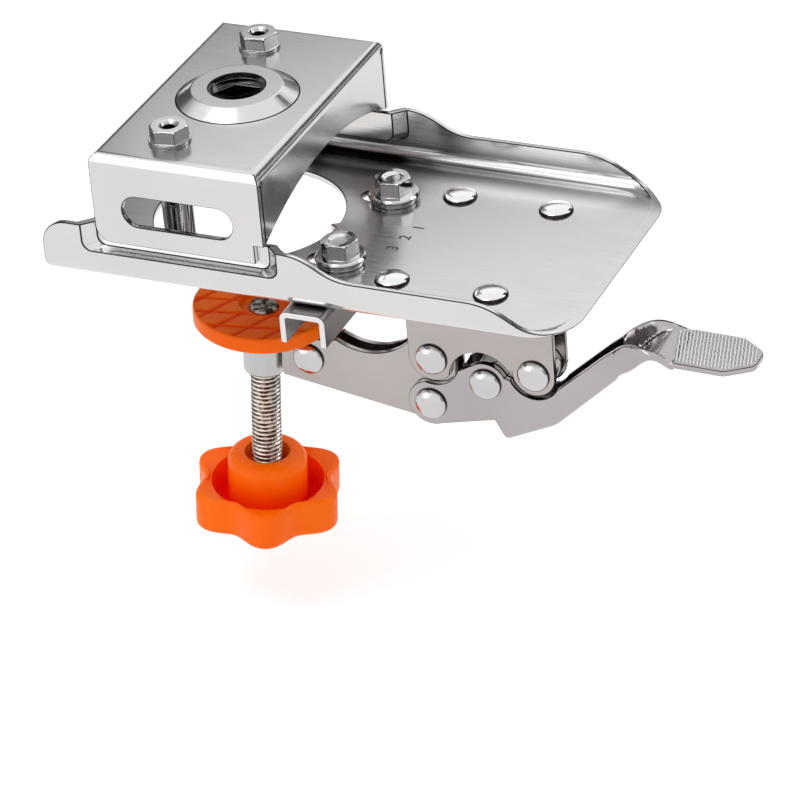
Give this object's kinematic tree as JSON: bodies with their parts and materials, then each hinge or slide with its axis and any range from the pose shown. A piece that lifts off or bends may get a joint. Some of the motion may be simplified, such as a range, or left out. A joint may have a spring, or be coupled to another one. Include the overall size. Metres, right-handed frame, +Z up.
{
  "type": "hinge drilling jig",
  "caption": "Folded sheet metal jig that clamps on a door edge and guides a cup bit and pilot drills for a concealed hinge.",
  "frame": {"origin": "on the cup bit's axis, at the underside of the base plate, where the door panel is clamped", "axes": "+X along the jig towards the lever, +Y across it towards the far flange, +Z up along the drill guides"},
  "size_m": [0.1721, 0.082, 0.128],
  "materials": {
    "plate_steel": "polished sheet with a fine grain",
    "cover_steel": "polished sheet with a fine grain",
    "guide_steel": "bright plated",
    "fastener_steel": "bright plated",
    "clamp_steel": "polished sheet",
    "lever_steel": "polished sheet",
    "fence_steel": "polished sheet",
    "rivet_steel": "polished domes",
    "boss_steel": "satin plated",
    "screw_steel": "rolled thread, slightly worn",
    "orange_plastic": "moulded, semi-gloss"
  },
  "bodies": {
    "base": {"base_plate": "plate_steel", "guide_cover": "cover_steel", "guide_bush": "guide_steel", "pilot_sleeve_near": "guide_steel", "pilot_sleeve_far": "guide_steel", "sleeve_nut_near": "fastener_steel", "sleeve_nut_far": "fastener_steel", "clamp_bracket_near": "clamp_steel", "clamp_bracket_far": "clamp_steel", "plate_rivets": "rivet_steel", "arm_pivot_rivet": "rivet_steel", "link_pivot_rivet": "rivet_steel"},
    "arm": {"arm_plate_near": "clamp_steel", "arm_plate_far": "clamp_steel", "arm_spacers": "clamp_steel", "screw_boss": "boss_steel", "boss_rivet": "rivet_steel"},
    "lever": {"lever_handle": "lever_steel", "lever_pivot_rivet": "rivet_steel", "link_pin_rivet": "rivet_steel"},
    "link": {"toggle_link": "clamp_steel"},
    "pad": {"pressure_pad": "orange_plastic", "pad_washer": "fastener_steel"},
    "screw": {"clamp_screw": "screw_steel", "knob": "orange_plastic", "knob_nut": "fastener_steel"},
    "fence": {"fence_channel": "fence_steel", "fence_bolt_near": "fastener_steel", "fence_bolt_far": "fastener_steel", "fence_washer_near": "fastener_steel", "fence_washer_far": "fastener_steel", "fence_nut_near": "fastener_steel", "fence_nut_far": "fastener_steel"}
  },
  "joints": [
    {"name": "arm_pivot", "type": "hinge", "parent": "base", "child": "arm", "pos_m": [0.0492, 0, -0.0306], "axis": [0, -1, 0], "range_deg": [0, 20]},
    {"name": "lever_pivot", "type": "hinge", "parent": "arm", "child": "lever", "pos_m": [0.0482, 0, -0.0437], "axis": [0, -1, 0], "range_deg": [-48, 0]},
    {"name": "link_pivot", "type": "hinge", "parent": "base", "child": "link", "pos_m": [0.0767, 0, -0.0309], "axis": [0, -1, 0], "range_deg": [0, 42.6]},
    {"name": "screw_travel", "type": "slide", "parent": "arm", "child": "pad", "axis": [0.0767, 0, 0.9971], "range_m": [0, 0.0125]},
    {"name": "screw_spin", "type": "hinge", "parent": "pad", "child": "screw", "pos_m": [0.0008, 0, -0.0306], "axis": [0.0767, 0, 0.9971], "range_deg": [0, 3600]},
    {"name": "fence_adjust", "type": "slide", "parent": "base", "child": "fence", "axis": [-1, 0, 0], "range_m": [0, 0.006]}
  ],
  "couplings": [
    {"joint": "lever_pivot", "follows": "arm_pivot", "ratio": -2.4},
    {"joint": "link_pivot", "follows": "arm_pivot", "ratio": 2.13},
    {"joint": "screw_travel", "follows": "screw_spin", "m_per_rad": 0.00019894}
  ]
}
